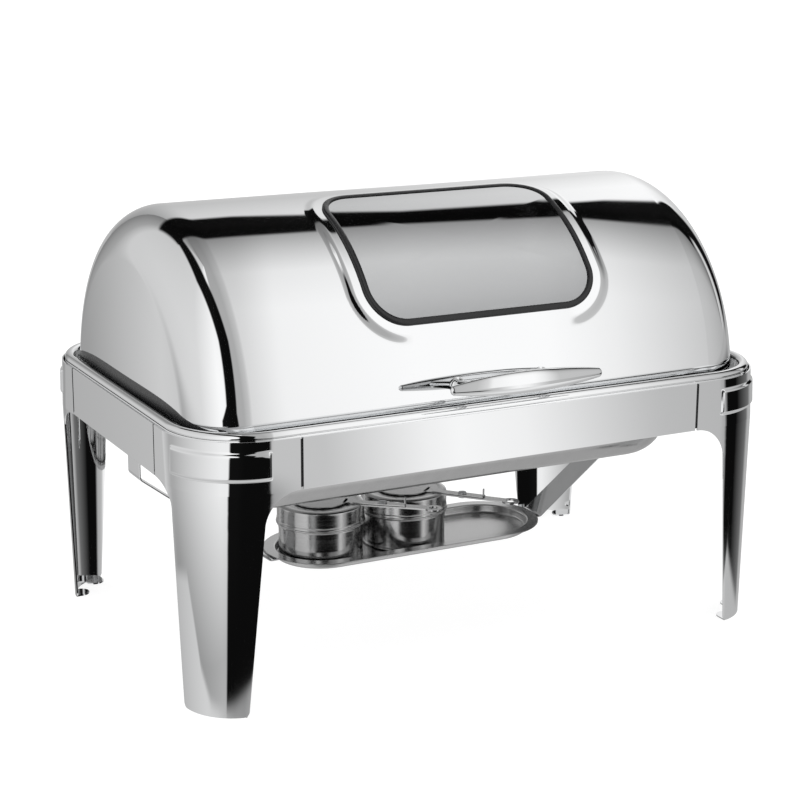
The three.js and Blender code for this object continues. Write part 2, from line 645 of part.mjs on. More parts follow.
// Strap from under the tray's end flange up to the hanging plate, drawn in X and Z and given its width.
function strap() {
  const t = SHEET / 2;
  const foot = TRAY_Z - SHEET - GAP - t;
  const path = [[146.5, foot], [161, foot], [STRAP_OUT - t, 179], [STRAP_OUT - t, 228]];
  const heading = ([ax, az], [bx, bz]) => {
    const run = Math.hypot(bx - ax, bz - az);
    return [(bx - ax) / run, (bz - az) / run];
  };
  const edge = (side) => path.map(([x, z], i) => {
    const before = heading(path[Math.max(0, i - 1)], path[Math.max(1, i)]);
    const after = heading(path[Math.min(i, path.length - 2)], path[Math.min(i + 1, path.length - 1)]);
    const normal = [-(before[1] + after[1]), before[0] + after[0]];
    const scale = (side * t * 2) / (normal[0] ** 2 + normal[1] ** 2);
    return new THREE.Vector2(x + normal[0] * scale, z + normal[1] * scale);
  });
  const shape = new THREE.Shape([...edge(1), ...edge(-1).reverse()]);
  const strip = new THREE.ExtrudeGeometry(shape, { depth: 2 * STRAP_HALF, bevelEnabled: false });
  strip.rotateX(Math.PI / 2);
  const holes = [-1, 1].map((y) =>
    moved(alongX(rod(2.6, STRAP_OUT - 4, STRAP_OUT + 2, 12), 1), 0, y * STRAP_BOLT_Y, STRAP_BOLT_Z));
  return cut(moved(weld(strip), 0, STRAP_HALF, 0), ...holes);
}

// Outline with round ends about the outer burners.
const trough = (r) => roundRect(BURNER_PITCH + r, r, r - 0.01, 10);

function fuelTray() {
  const z0 = TRAY_Z - SHEET;
  const pan = loft([
    level(trough(TRAY_HALF_WIDTH), z0), level(trough(TRAY_HALF_WIDTH), TRAY_Z),
    level(trough(TROUGH_R - SHEET), TRAY_Z), level(trough(TROUGH_R - 2 - SHEET), TROUGH_FLOOR + 1.5),
    level(trough(TROUGH_R - 3.5 - SHEET), TROUGH_FLOOR),
    level(trough(TROUGH_R - 3.5), TROUGH_FLOOR - SHEET), level(trough(TROUGH_R - 2), TROUGH_FLOOR),
    level(trough(TROUGH_R), z0),
  ], false);
  const floor = loft([TROUGH_FLOOR - SHEET, TROUGH_FLOOR].map((z) => level(trough(TROUGH_R - 4), z)));
  return geometryOf(joined(pan, floor));
}

const HOLDER_FLOOR = TROUGH_FLOOR + GAP;
const LID_SKIRT = 101.5;
const DAMPER_R = 28.6;
const DAMPER_Z = LID_TOP + GAP;
const HANDLE_REACH = 128;
const HANDLE_WIDE = 11;

function lidGeometry() {
  const inner = BURNER_R + GAP;
  const cap = turned([
    [22, LID_TOP - THIN], [inner, LID_TOP - THIN], [inner, LID_SKIRT], [inner + THIN, LID_SKIRT],
    [inner + THIN + 0.9, LID_SKIRT + 1.6], [inner + THIN + 0.9, LID_SKIRT + 3.4], [inner + THIN, LID_SKIRT + 5],
    [inner + THIN, LID_TOP - 2], [inner - 0.6, LID_TOP], [22, LID_TOP], [22, LID_TOP - THIN],
  ], 28);
  const bar = box(inner - 4, HANDLE_REACH - 12, -HANDLE_WIDE / 2, HANDLE_WIDE / 2, LID_TOP - SHEET, LID_TOP);
  const eye = moved(rod(9, LID_TOP - SHEET, LID_TOP, 20), HANDLE_REACH - 9, 0, 0);
  const eyeHole = moved(rod(4.5, LID_TOP - 6, LID_TOP + 4, 16), HANDLE_REACH - 9, 0, 0);
  const rivetHole = moved(rod(2.6, LID_TOP - 6, LID_TOP + 4, 12), RIVET_REACH, 0, 0);
  return cut(geometryOf(joined(cap, bar, eye)), eyeHole, rivetHole);
}

function damperGeometry() {
  const disc = rod(DAMPER_R, DAMPER_Z, DAMPER_Z + THIN, 32);
  const lever = box(DAMPER_R - 4, 90, -4.5, 4.5, DAMPER_Z, DAMPER_Z + THIN);
  const tab = box(90 - THIN, 90, -4.5, 4.5, DAMPER_Z, DAMPER_Z + 9);
  const hole = moved(rod(2.6, LID_TOP - 6, LID_TOP + 8, 12), RIVET_REACH, 0, 0);
  return cut(geometryOf(joined(disc, lever, tab)), hole);
}

function addFuel() {
  add('fuel_tray', fuelTray(), SATIN);
  for (const [name, side] of [['left', -1], ['right', 1]]) {
    add(`tray_strap_${name}`, mirroredX(strap(), side), MIRROR);
  }
  const wall = LID_TOP - THIN - GAP;
  const pot = turned([
    [0, HOLDER_FLOOR], [BURNER_R - 2, HOLDER_FLOOR], [BURNER_R, HOLDER_FLOOR + 2], [BURNER_R, wall],
    [BURNER_R - THIN, wall], [BURNER_R - THIN, HOLDER_FLOOR + 2.4], [BURNER_R - 3, HOLDER_FLOOR + THIN],
    [0, HOLDER_FLOOR + THIN],
  ], 28);
  const rivet = turned([
    [0, LID_TOP - SHEET - 1.6], [4, LID_TOP - SHEET - 1.2], [4, LID_TOP - SHEET - GAP],
    [2.3, LID_TOP - SHEET - GAP], [2.3, DAMPER_Z + THIN + GAP], [4.6, DAMPER_Z + THIN + GAP],
    [4, DAMPER_Z + THIN + 1.8], [0, DAMPER_Z + THIN + 2.2],
  ], 16);
  BURNER_X.forEach((x, i) => {
    const place = (geometry, reach = 0) => {
      geometry.translate(reach, 0, 0);
      geometry.rotateZ(rad(HANDLE_TURN[i]));
      return moved(geometry, x, 0, 0);
    };
    add(`fuel_holder_${i + 1}`, moved(pot.clone(), x, 0, 0), SATIN);
    add(`holder_lid_${i + 1}`, place(lidGeometry()), SATIN);
    add(`damper_${i + 1}`, place(damperGeometry()), SATIN);
    add(`damper_rivet_${i + 1}`, place(rivet.clone(), RIVET_REACH), ZINC);
  });
}

addStand();
addDome();
addPivots();
addPans();
addFuel();

// The handle stands out in front of the stand, so the middle of the whole lies a little forward of it.
const whole = new THREE.Box3().setFromObject(chafer);
const shift = -(whole.min.y + whole.max.y) / 2;
for (const mesh of chafer.children) mesh.geometry.translate(0, shift, 0);

export default chafer;
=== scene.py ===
import math

import bmesh
import bpy
import numpy as np
from mathutils import Matrix, Vector


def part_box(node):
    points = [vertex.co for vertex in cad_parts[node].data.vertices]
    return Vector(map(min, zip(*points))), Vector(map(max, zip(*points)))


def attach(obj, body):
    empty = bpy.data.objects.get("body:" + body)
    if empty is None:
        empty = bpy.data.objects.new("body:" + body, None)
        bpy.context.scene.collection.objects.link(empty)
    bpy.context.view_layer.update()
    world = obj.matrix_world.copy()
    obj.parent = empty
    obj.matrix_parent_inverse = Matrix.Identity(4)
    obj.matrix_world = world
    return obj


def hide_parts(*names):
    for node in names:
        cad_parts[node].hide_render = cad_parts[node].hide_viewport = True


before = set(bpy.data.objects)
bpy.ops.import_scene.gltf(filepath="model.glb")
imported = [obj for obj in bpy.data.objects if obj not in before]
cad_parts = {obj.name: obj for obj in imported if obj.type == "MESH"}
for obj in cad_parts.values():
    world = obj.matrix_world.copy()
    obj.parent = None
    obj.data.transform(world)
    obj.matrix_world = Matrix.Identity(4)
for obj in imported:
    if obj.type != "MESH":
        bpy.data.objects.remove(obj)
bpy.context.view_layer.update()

# Lengths below are millimetres about the middle of the stand, as on the part's drawing. The frame's
# origin lies a little in front of that, under the middle of the whole.
RIM_LO, RIM_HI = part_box("rim_ring")
MIDDLE_Y = (RIM_LO.y + RIM_HI.y) / 2

LENGTH, WIDTH = 640.0, 436.0
SHEET, SEAM = 1.5, 2.4
LEG_TOP, SKIRT_BOTTOM, RIM_CORNER = 264.0, 215.0, 78
LEAN = 8                                   # the stand is this much narrower all round at the floor
SEAM_SIDE, SEAM_FRONT = 98.6, 102.6        # seams from the corner, along the ends and the long sides
BAND_LOW, BAND_HIGH, BAND_RISE = 227.5, 254.5, 2.0
AXIS_Z = 246.0
DOME_RY, DOME_RZ, DOME_END = 189.0, 198.0, 305.0
END_CROWN, END_FILLET, DOME_SHEET = 3.0, 49.0, 1.2
WINDOW_X, WINDOW_LOW, WINDOW_HIGH, WINDOW_CORNER, WINDOW_OFF = 126.0, 28.8, 82.0, 40.0, 6.5
PAD_RISE, PANEL_EDGE = 1.6, 1.95
TRAY_Z, TRAY_HALF, TROUGH_R, TROUGH_FLOOR, BURNER_PITCH = 76.0, 60.5, 49.0, 67.2, 97.0
LID_TOP, POT_TOP, BURNER_R = 124.5, 123, 44.0
BURNERS = ((-BURNER_PITCH, -38.7), (0.0, -48.6))    # place along the tray, direction of the lid's handle
HANDLE_ANGLE, HANDLE_RADIUS, HANDLE_HALF, POST_X = 11.5, 242.0, 82.0, 46.0


def smoothstep(x, lo, hi):
    t = np.clip((x - lo) / (hi - lo), 0, 1)
    return t * t * (3 - 2 * t)


# ---- mesh helpers ------------------------------------------------------------------------------
def piece(name, parts, material, body, slot, *nodes, angle=35):
    """One object from (points in mm, faces) parts, with smooth shading up to an edge angle."""
    points, faces = [], []
    for p, f in parts:
        start = sum(len(q) for q in points)
        points.append(np.asarray(p, float).reshape(-1, 3))
        faces += [[start + i for i in face] for face in f]
    xyz = np.concatenate(points) / 1000
    xyz[:, 1] += MIDDLE_Y
    mesh = bpy.data.meshes.new(name)
    mesh.from_pydata(xyz.tolist(), [], faces)
    bm = bmesh.new()
    bm.from_mesh(mesh)
    bmesh.ops.remove_doubles(bm, verts=bm.verts, dist=1e-6)
    bmesh.ops.dissolve_degenerate(bm, edges=bm.edges, dist=1e-7)
    bmesh.ops.recalc_face_normals(bm, faces=bm.faces)
    bm.to_mesh(mesh)
    bm.free()
    mesh.shade_smooth()
    mesh.set_sharp_from_angle(angle=math.radians(angle))
    obj = bpy.data.objects.new(name, mesh)
    bpy.context.scene.collection.objects.link(obj)
    normals = obj.modifiers.new("normals", "WEIGHTED_NORMAL")
    normals.keep_sharp = True
    normals.weight = 80
    mesh.materials.append(material)
    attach(obj, body)
    if nodes:
        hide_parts(*nodes)
    return obj


def loops(rings, closed=True):
    """Skin over loops of equal length; closed joins last to first, otherwise both ends get a cap."""
    rings = np.asarray(rings, float)
    m, n = rings.shape[:2]
    faces = []
    for i in range(m if closed else m - 1):
        k = (i + 1) % m
        for j in range(n):
            l = (j + 1) % n
            faces.append([i * n + j, i * n + l, k * n + l, k * n + j])
    if not closed:
        faces += [list(range(n))[::-1], [(m - 1) * n + j for j in range(n)]]
    return rings.reshape(-1, 3), faces


def sheet(outer, inner):
    """Closed sheet between two grids of points."""
    grids = np.stack([np.asarray(outer, float), np.asarray(inner, float)])
    m, n = grids.shape[1:3]

    def at(side, i, j):
        return side * m * n + i * n + j

    faces = []
    for i in range(m - 1):
        for j in range(n - 1):
            faces.append([at(0, i, j), at(0, i, j + 1), at(0, i + 1, j + 1), at(0, i + 1, j)])
            faces.append([at(1, i, j), at(1, i + 1, j), at(1, i + 1, j + 1), at(1, i, j + 1)])
        for j in (0, n - 1):
            faces.append([at(0, i, j), at(0, i + 1, j), at(1, i + 1, j), at(1, i, j)])
    for j in range(n - 1):
        for i in (0, m - 1):
            faces.append([at(0, i, j), at(1, i, j), at(1, i, j + 1), at(0, i, j + 1)])
    return grids.reshape(-1, 3), faces


def outline(hx, hy, r, steps=24):
    """Rounded rectangle with extra points along its straight sides."""
    points = []
    for sx, sy, start in ((1, 1, 0), (-1, 1, 90), (-1, -1, 180), (1, -1, 270)):
        for i in range(steps + 1):
            a = math.radians(start + 90 * i / steps)
            points.append((sx * (hx - r) + r * math.cos(a), sy * (hy - r) + r * math.sin(a)))
        along_x = sx == sy
        count, run = (10, 2 * (hx - r)) if along_x else (8, 2 * (hy - r))
        dx, dy = (-sx, 0) if along_x else (0, sx)
        x, y = points[-1]
        if run > 1:
            points += [(x + dx * run * k / count, y + dy * run * k / count) for k in range(1, count)]
        else:
            points += [(x, y)] * (count - 1)
    return np.array(points)


def ring_sweep(section, hx, hy, r, steps=24):
    """Section of [inset, height] points carried round a rounded rectangle."""
    return level_loops([(hx - d, hy - d, max(r - d, 0.5), z) for d, z in section], steps, closed=True)


def level_loops(levels, steps=24, closed=False):
    """Skin over rounded rectangles [half length, half width, corner radius, height]."""
    rings = []
    for hx, hy, r, z in levels:
        flat = outline(hx, hy, r, steps)
        rings.append(np.column_stack([flat, np.full(len(flat), z)]))
    return loops(rings, closed)


def arc(cx, cy, r, a0, a1, n):
    """Points of an arc between two angles in degrees."""
    return [(cx + r * math.cos(a), cy + r * math.sin(a)) for a in np.radians(np.linspace(a0, a1, n))]


def lathe(profile, segments=96):
    """Turned piece about Z from [radius, height] points; radius 0 closes it."""
    rings = []
    for r, z in profile:
        a = np.linspace(0, 2 * math.pi, segments, endpoint=False)
        rings.append(np.column_stack([max(r, 1e-4) * np.cos(a), max(r, 1e-4) * np.sin(a), np.full(segments, z)]))
    closed = profile[0] == profile[-1]
    return loops(rings[:-1] if closed else rings, closed)


def moved(part, offset=(0, 0, 0), turn=None):
    """Part turned about the origin, then shifted."""
    points, faces = part
    points = np.asarray(points, float)
    if turn is not None:
        points = points @ np.array(turn.to_3x3()).T
    return points + np.array(offset), faces


def rounded(corners, radius=0.6, steps=4):
    """Section polygon with its corners rounded."""
    out = []
    n = len(corners)
    for i, p in enumerate(corners):
        p, a, b = (np.array(corners[k % n], float) for k in (i, i - 1, i + 1))
        u, v = (a - p) / np.linalg.norm(a - p), (b - p) / np.linalg.norm(b - p)
        r = min(radius, 0.45 * np.linalg.norm(a - p), 0.45 * np.linalg.norm(b - p))
        for t in np.linspace(0, 1, steps):
            out.append(tuple(p + r * ((1 - t) ** 2 * u + t ** 2 * v)))
    return out


def slab(x0, x1, y0, y1, z0, z1, bevel=0.4):
    """Block with softened edges."""
    bm = bmesh.new()
    size = Vector((x1 - x0, y1 - y0, z1 - z0))
    centre = Vector(((x0 + x1) / 2, (y0 + y1) / 2, (z0 + z1) / 2))
    bmesh.ops.create_cube(bm, size=1, matrix=Matrix.Translation(centre) @ Matrix.Diagonal((*size, 1)))
    bmesh.ops.bevel(bm, geom=bm.edges, offset=bevel, segments=2, affect="EDGES", profile=0.5)
    points = [list(v.co) for v in bm.verts]
    bm.verts.index_update()
    faces = [[v.index for v in f.verts] for f in bm.faces]
    bm.free()
    return points, faces


# ---- materials ---------------------------------------------------------------------------------
def new_material(name, color, metallic, roughness, **sockets):
    material = bpy.data.materials.new(name)
    material.use_nodes = True
    shader = material.node_tree.nodes["Principled BSDF"]
    shader.inputs["Base Color"].default_value = (*color, 1)
    shader.inputs["Metallic"].default_value = metallic
    shader.inputs["Roughness"].default_value = roughness
    for key, value in sockets.items():
        shader.inputs[key.replace("_", " ")].default_value = value
    return material, material.node_tree, shader


def node(tree, kind, **values):
    n = tree.nodes.new(kind)
    for key, value in values.items():
        if key in n.inputs:
            n.inputs[key].default_value = value
        else:
            setattr(n, key, value)
    return n


def noise(tree, scale, stretch=(1, 1, 1), detail=4.0, roughness=0.5):
    coords = node(tree, "ShaderNodeTexCoord")
    mapping = node(tree, "ShaderNodeMapping")
    mapping.inputs["Scale"].default_value = stretch
    tree.links.new(coords.outputs["Object"], mapping.inputs["Vector"])
    texture = node(tree, "ShaderNodeTexNoise", Scale=scale, Detail=detail, Roughness=roughness)
    tree.links.new(mapping.outputs["Vector"], texture.inputs["Vector"])
    return texture.outputs["Fac"]


def remap(tree, value, lo, hi, out_lo, out_hi):
    n = node(tree, "ShaderNodeMapRange")
    n.inputs["From Min"].default_value = lo
    n.inputs["From Max"].default_value = hi
    n.inputs["To Min"].default_value = out_lo
    n.inputs["To Max"].default_value = out_hi
    tree.links.new(value, n.inputs["Value"])
    return n.outputs["Result"]


def tint(tree, value, dark, light):
    ramp = node(tree, "ShaderNodeValToRGB")
    ramp.color_ramp.elements[0].color = (*dark, 1)
    ramp.color_ramp.elements[1].color = (*light, 1)
    tree.links.new(value, ramp.inputs["Fac"])
    return ramp.outputs["Color"]


def bump(tree, shader, value, strength, distance):
    n = node(tree, "ShaderNodeBump", Strength=strength, Distance=distance)
    tree.links.new(value, n.inputs["Height"])
    tree.links.new(n.outputs["Normal"], shader.inputs["Normal"])


def mirror_steel(name):
    """Polished steel: a clear reflection with the faintest polishing haze."""
    material, tree, shader = new_material(name, (0.86, 0.865, 0.87), 1.0, 0.04)
    haze = remap(tree, noise(tree, 9.0, detail=6.0), 0.35, 0.7, 0.02, 0.06)
    tree.links.new(haze, shader.inputs["Roughness"])
    tree.links.new(tint(tree, noise(tree, 4.0), (0.84, 0.845, 0.85), (0.88, 0.885, 0.89)),
                   shader.inputs["Base Color"])
    return material


def satin_steel(name, stretch, dark=0.5, light=0.6, rough=(0.18, 0.26), strength=0.06, aniso=0.0):
    """Brushed steel with its grain drawn out along the directions that stretch leaves low."""
    material, tree, shader = new_material(name, (light,) * 3, 1.0, 0.3)
    shader.inputs["Anisotropic"].default_value = aniso
    grain = noise(tree, 1.0, stretch, detail=5.0, roughness=0.6)
    tree.links.new(remap(tree, grain, 0.3, 0.7, *rough), shader.inputs["Roughness"])
    tree.links.new(tint(tree, grain, (dark,) * 3, (light,) * 3), shader.inputs["Base Color"])
    bump(tree, shader, grain, strength, 0.0002)
    return material


def plain_material(name, dark, light, roughness, scale, strength, metallic=0.0):
    material, tree, shader = new_material(name, light, metallic, roughness)
    grain = noise(tree, scale, detail=6.0)
    tree.links.new(tint(tree, grain, dark, light), shader.inputs["Base Color"])
    tree.links.new(remap(tree, grain, 0.3, 0.7, roughness - 0.08, roughness + 0.08), shader.inputs["Roughness"])
    bump(tree, shader, grain, strength, 0.0003)
    return material


MIRROR = mirror_steel("mirror_steel")
TURNED = satin_steel("satin_steel_turned", (2, 2, 700), rough=(0.13, 0.21), aniso=0.6)
BRUSHED = satin_steel("satin_steel_brushed", (6, 700, 700))
PRESSED = satin_steel("satin_steel_pressed", (60, 60, 60), rough=(0.14, 0.2), strength=0.03)
ZINC = plain_material("zinc_steel", (0.42, 0.43, 0.44), (0.55, 0.56, 0.57), 0.38, 220.0, 0.2, metallic=1.0)
# Black of the real seals and bumpers, also used as painted shade on the seam and end-wall strips.
RUBBER_AND_PAINTED_SHADE = plain_material("seal_rubber_and_painted_shade", (0.006, 0.006, 0.007), (0.018, 0.018, 0.019), 0.3, 400.0, 0.08)
PAD = plain_material("friction_lining", (0.04, 0.035, 0.03), (0.09, 0.08, 0.07), 0.8, 600.0, 0.4)
NYLON = plain_material("nylon", (0.7, 0.69, 0.64), (0.8, 0.79, 0.74), 0.5, 300.0, 0.1)


def glass_painted_reflection(name):
    """Curved glass, more metallic towards its upper edge, with painted reflection: its colour grows lighter towards
    that edge.
    """
    material, tree, shader = new_material(name, (0.74, 0.75, 0.76), 0.8, 0.03)
    shader.inputs["Transmission Weight"].default_value = 1.0
    shader.inputs["IOR"].default_value = 1.5
    coords = node(tree, "ShaderNodeTexCoord")
    split = node(tree, "ShaderNodeSeparateXYZ")
    tree.links.new(coords.outputs["Object"], split.inputs[0])
    tree.links.new(remap(tree, split.outputs["Z"], 0.345, 0.44, 0.78, 0.92), shader.inputs["Metallic"])
    # Colour darker low down and lighter towards the upper edge: painted reflection.
    painted_reflection_grade = remap(tree, split.outputs["Z"], 0.34, 0.4, 0.0, 1.0)
    tree.links.new(tint(tree, painted_reflection_grade, (0.4, 0.405, 0.41), (0.66, 0.665, 0.67)), shader.inputs["Base Color"])
    tree.links.new(remap(tree, noise(tree, 30.0), 0.3, 0.7, 0.02, 0.04), shader.inputs["Roughness"])
    return material


GLASS = glass_painted_reflection("glass_painted_reflection")


# ---- stand -------------------------------------------------------------------------------------
def inset(z):
    """How far the stand leans in at a height."""
    return LEAN * max(0.0, 1 - z / SKIRT_BOTTOM)


def leg_width(z, foot, knee, knee_z, seam):
    """Width of one side of a leg: a straight taper up to the knee, then an elliptical sweep out to the seam."""
    if z >= SKIRT_BOTTOM:
        return seam
    straight = foot + (knee - foot) * min(1, z / knee_z)
    if z <= knee_z:
        return straight
    t = (z - knee_z) / (SKIRT_BOTTOM - knee_z)
    return straight + (seam - knee) * (1 - math.sqrt(max(0, 1 - t * t)))


def leg_row(z, d, columns):
    """Points round the front left corner at one height, from the side edge to the front edge."""
    i = inset(z)
    hx, hy = LENGTH / 2 - i - d, WIDTH / 2 - i - d
    r = 52 + 26 * z / LEG_TOP - d
    foot = 5 - math.sqrt(max(0, 25 - (5 - z) ** 2)) if z < 5 else 0
    side = leg_width(z, 59, 61.5, 195, SEAM_SIDE) - foot - i - d
    front = leg_width(z, 52, 67.5, 180, SEAM_FRONT) - foot - i - d
    run_side, run_front = max(0, side - r), max(0, front - r)
    a0 = math.asin(min(1, max(0, (r - side) / r)))
    a1 = math.acos(min(1, max(0, (r - front) / r)))
    total = run_side + r * (a1 - a0) + run_front
    row = []
    for k in range(columns + 1):
        s = total * k / columns
        if s < run_side:
            x, y, nx, ny = -hx, -hy + r + run_side - s, -1, 0
        elif s <= run_side + r * (a1 - a0):
            a = a0 + (s - run_side) / r
            nx, ny = -math.cos(a), -math.sin(a)
            x, y = -hx + r + r * nx, -hy + r + r * ny
        else:
            x, y, nx, ny = -hx + r + s - run_side - r * (a1 - a0), -hy, 0, -1
        # Raised band pressed out round the corner.
        ux, uy = x + hx + d + i, y + hy + d + i
        edge = 61.5 - uy if uy > ux else 74.5 - ux
        band = smoothstep(edge, 0, 2.4) * smoothstep(min(z - BAND_LOW, BAND_HIGH - z), 0, 3.0)
        row.append((x + BAND_RISE * band * nx, y + BAND_RISE * band * ny, z))
    return row


def foot_tab(middle, half, length, along_x):
    """Tongue folded in under a foot, from just inside the skin of the corner."""
    i = inset(0) + 0.3
    r = 52.0
    shape = []
    for v in np.linspace(-half, half, 9):
        run = middle + v
        back = r - math.sqrt(max(0.0, r * r - max(0.0, r - run + i) ** 2)) if run < r + i else 0.0
        shape.append((run, i + back))
    tip = i + length - half
    shape += [(middle + half * math.cos(a), tip + half * math.sin(a)) for a in np.radians(np.linspace(0, 180, 13))]
    shape = np.array(shape)
    if not along_x:
        shape = shape[:, ::-1]
    corner = np.array((-LENGTH / 2, -WIDTH / 2))
    return loops([np.column_stack([corner + shape, np.full(len(shape), z)]) for z in (0.0, 0.25, 1.3, SHEET)],
                 closed=False)


def leg_parts():
    heights = [0, 0.4, 1, 2, 3.5, 5, 15, 30, 50, 70, 90, 110, 130, 150, 165, 180, 186, 191, 195, 199, 202, 205,
               207.5, 209.5, 211, 212.3, 213.4, 214.3, 214.8, 215, 219, 223, 226.5, 227.5, 228.4, 229.3, 230.2,
               231, 233, 236, 241, 246, 249, 251, 252, 252.9, 253.7, 254.5, 256, 259, 262, 263.5, LEG_TOP]
    columns = 144
    skin = sheet([leg_row(z, 0, columns) for z in heights], [leg_row(z, SHEET, columns) for z in heights])
    front = foot_tab(41, 9.5, 21, True)
    side = foot_tab(47, 9.5, 17, False)
    studs = []
    turn = Matrix.Rotation(-math.pi / 2, 4, "X")
    stud = lathe([(0, 0), (3, 0), (3, 9.6), (2.4, 10.9), (0, 10.9)], 24)
    studs.append(moved(stud, (-LENGTH / 2 + 88, -WIDTH / 2 + 0.8, 240), turn))
    turn = Matrix.Rotation(math.pi / 2, 4, "Y")
    studs.append(moved(stud, (-LENGTH / 2 + 0.8, -WIDTH / 2 + 86, 240), turn))
    return [skin, front, side, *studs]


def mirrored(parts, sx, sy):
    """Parts with X and Y multiplied by 1 or -1."""
    scale = np.array([sx, sy, 1.0])
    return [(np.asarray(p, float) * scale, f) for p, f in parts]


def build_stand():
    bead = [(1.8, 219), (1.8, 262)]
    bead += arc(8.2, 266, 5.0, 195, 0, 18)
    bead += [(13.2, 260.2), (12.4, 259.8), (11.7, 260.2)]
    bead += arc(8.2, 266, 3.5, 0, 190, 12)
    bead += [(3.3, 261.4), (3.3, 219)]
    rim = ring_sweep(bead, LENGTH / 2, WIDTH / 2, RIM_CORNER, 28)
    piece("rim_bead", [rim], MIRROR, "stand", "mirror_steel", "rim_ring")
    leg = leg_parts()
    for name, sx, sy in (("front_left", 1, 1), ("front_right", -1, 1), ("rear_left", 1, -1), ("rear_right", -1, -1)):
        piece(f"leg_skin_{name}", mirrored(leg, sx, sy), MIRROR, "stand", "mirror_steel", f"leg_{name}")
    x, y = LENGTH / 2 - SEAM_FRONT - SEAM, WIDTH / 2 - SEAM_SIDE - SEAM
    hx, hy = LENGTH / 2, WIDTH / 2
    for name, extent in (("front", (-x, x, -hy, -hy + SHEET)), ("rear", (-x, x, hy - SHEET, hy)),
                         ("left", (-hx, -hx + SHEET, -y, y)), ("right", (hx - SHEET, hx, -y, y))):
        piece(f"skirt_sheet_{name}", [slab(*extent, SKIRT_BOTTOM, LEG_TOP)], MIRROR, "stand", "mirror_steel",
              f"skirt_{name}")
    build_seams(x + SEAM / 2, y + SEAM / 2)


def build_seams(x, y):
    """Dark strip behind each of the eight open seams: painted shade in the seam gaps."""
    strips = []
    deep, near, half = 1.78, 1.52, 2.6         # depths from the outside, and half the width
    hx, hy = LENGTH / 2, WIDTH / 2
    for sx in (-1, 1):
        for sy in (-1, 1):
            ys = sorted((sy * (hy - deep), sy * (hy - near)))
            strips.append(slab(sx * x - half, sx * x + half, *ys, 217, 262, 0.05))
            xs = sorted((sx * (hx - deep), sx * (hx - near)))
            strips.append(slab(*xs, sy * y - half, sy * y + half, 217, 262, 0.05))
    # Painted shade: the strips take the seal's black to darken the seam gaps.
    piece("seam_shadow_strips", strips, RUBBER_AND_PAINTED_SHADE, "stand", "rubber")


# ---- dome --------------------------------------------------------------------------------------
WINDOW_MID = (WINDOW_LOW + WINDOW_HIGH) / 2
WINDOW_R = (DOME_RY + DOME_RZ) / 2
WINDOW_S = math.radians(WINDOW_HIGH - WINDOW_LOW) * WINDOW_R / 2


def outside_window(x, a):
    """Distance of dome points outside the seal's outline, measured over the surface."""
    s = np.radians(a - WINDOW_MID) * WINDOW_R
    qx = np.abs(x - WINDOW_OFF) - (WINDOW_X - WINDOW_CORNER)
    qs = np.abs(s) - (WINDOW_S - WINDOW_CORNER)
    return np.hypot(np.maximum(qx, 0), np.maximum(qs, 0)) + np.minimum(np.maximum(qx, qs), 0) - WINDOW_CORNER


def panel_rise(x, a):
    """Height of the raised panel: a crisp step at its outer edge, then falling a little to the seal."""
    d = outside_window(x, a)
    crown = PAD_RISE + (PANEL_EDGE - PAD_RISE) * np.clip(d / 9.0, 0, 1)
    return crown * (1 - smoothstep(d, 9.0, 17.4))


def dome_points(x, share, a, n):
    """x along, share of the full section, a degrees up from the front, n mm outwards."""
    c, s = np.cos(np.radians(a)), np.sin(np.radians(a))
    return np.stack([x + 0 * a, -(DOME_RY * share + n) * c, AXIS_Z + (DOME_RZ * share + n) * s], -1)


def dome_profile(t):
    """Half profile from pivot to barrel: [x, share of the full section], t mm inside the skin."""
    flat = 1 - END_FILLET / DOME_RY
    out = [(DOME_END - END_CROWN * k * k - t, flat * k) for k in np.linspace(0, 1, 15)[:-1]]
    r = END_FILLET - t
    slope = math.atan(2 * END_CROWN / (DOME_RY - END_FILLET))
    for angle in np.linspace(math.pi / 2 - slope, 0, 24):
        out.append((DOME_END - END_CROWN - END_FILLET + r * math.sin(angle),
                    1 - (END_FILLET - r * math.cos(angle)) / DOME_RY))
    return out


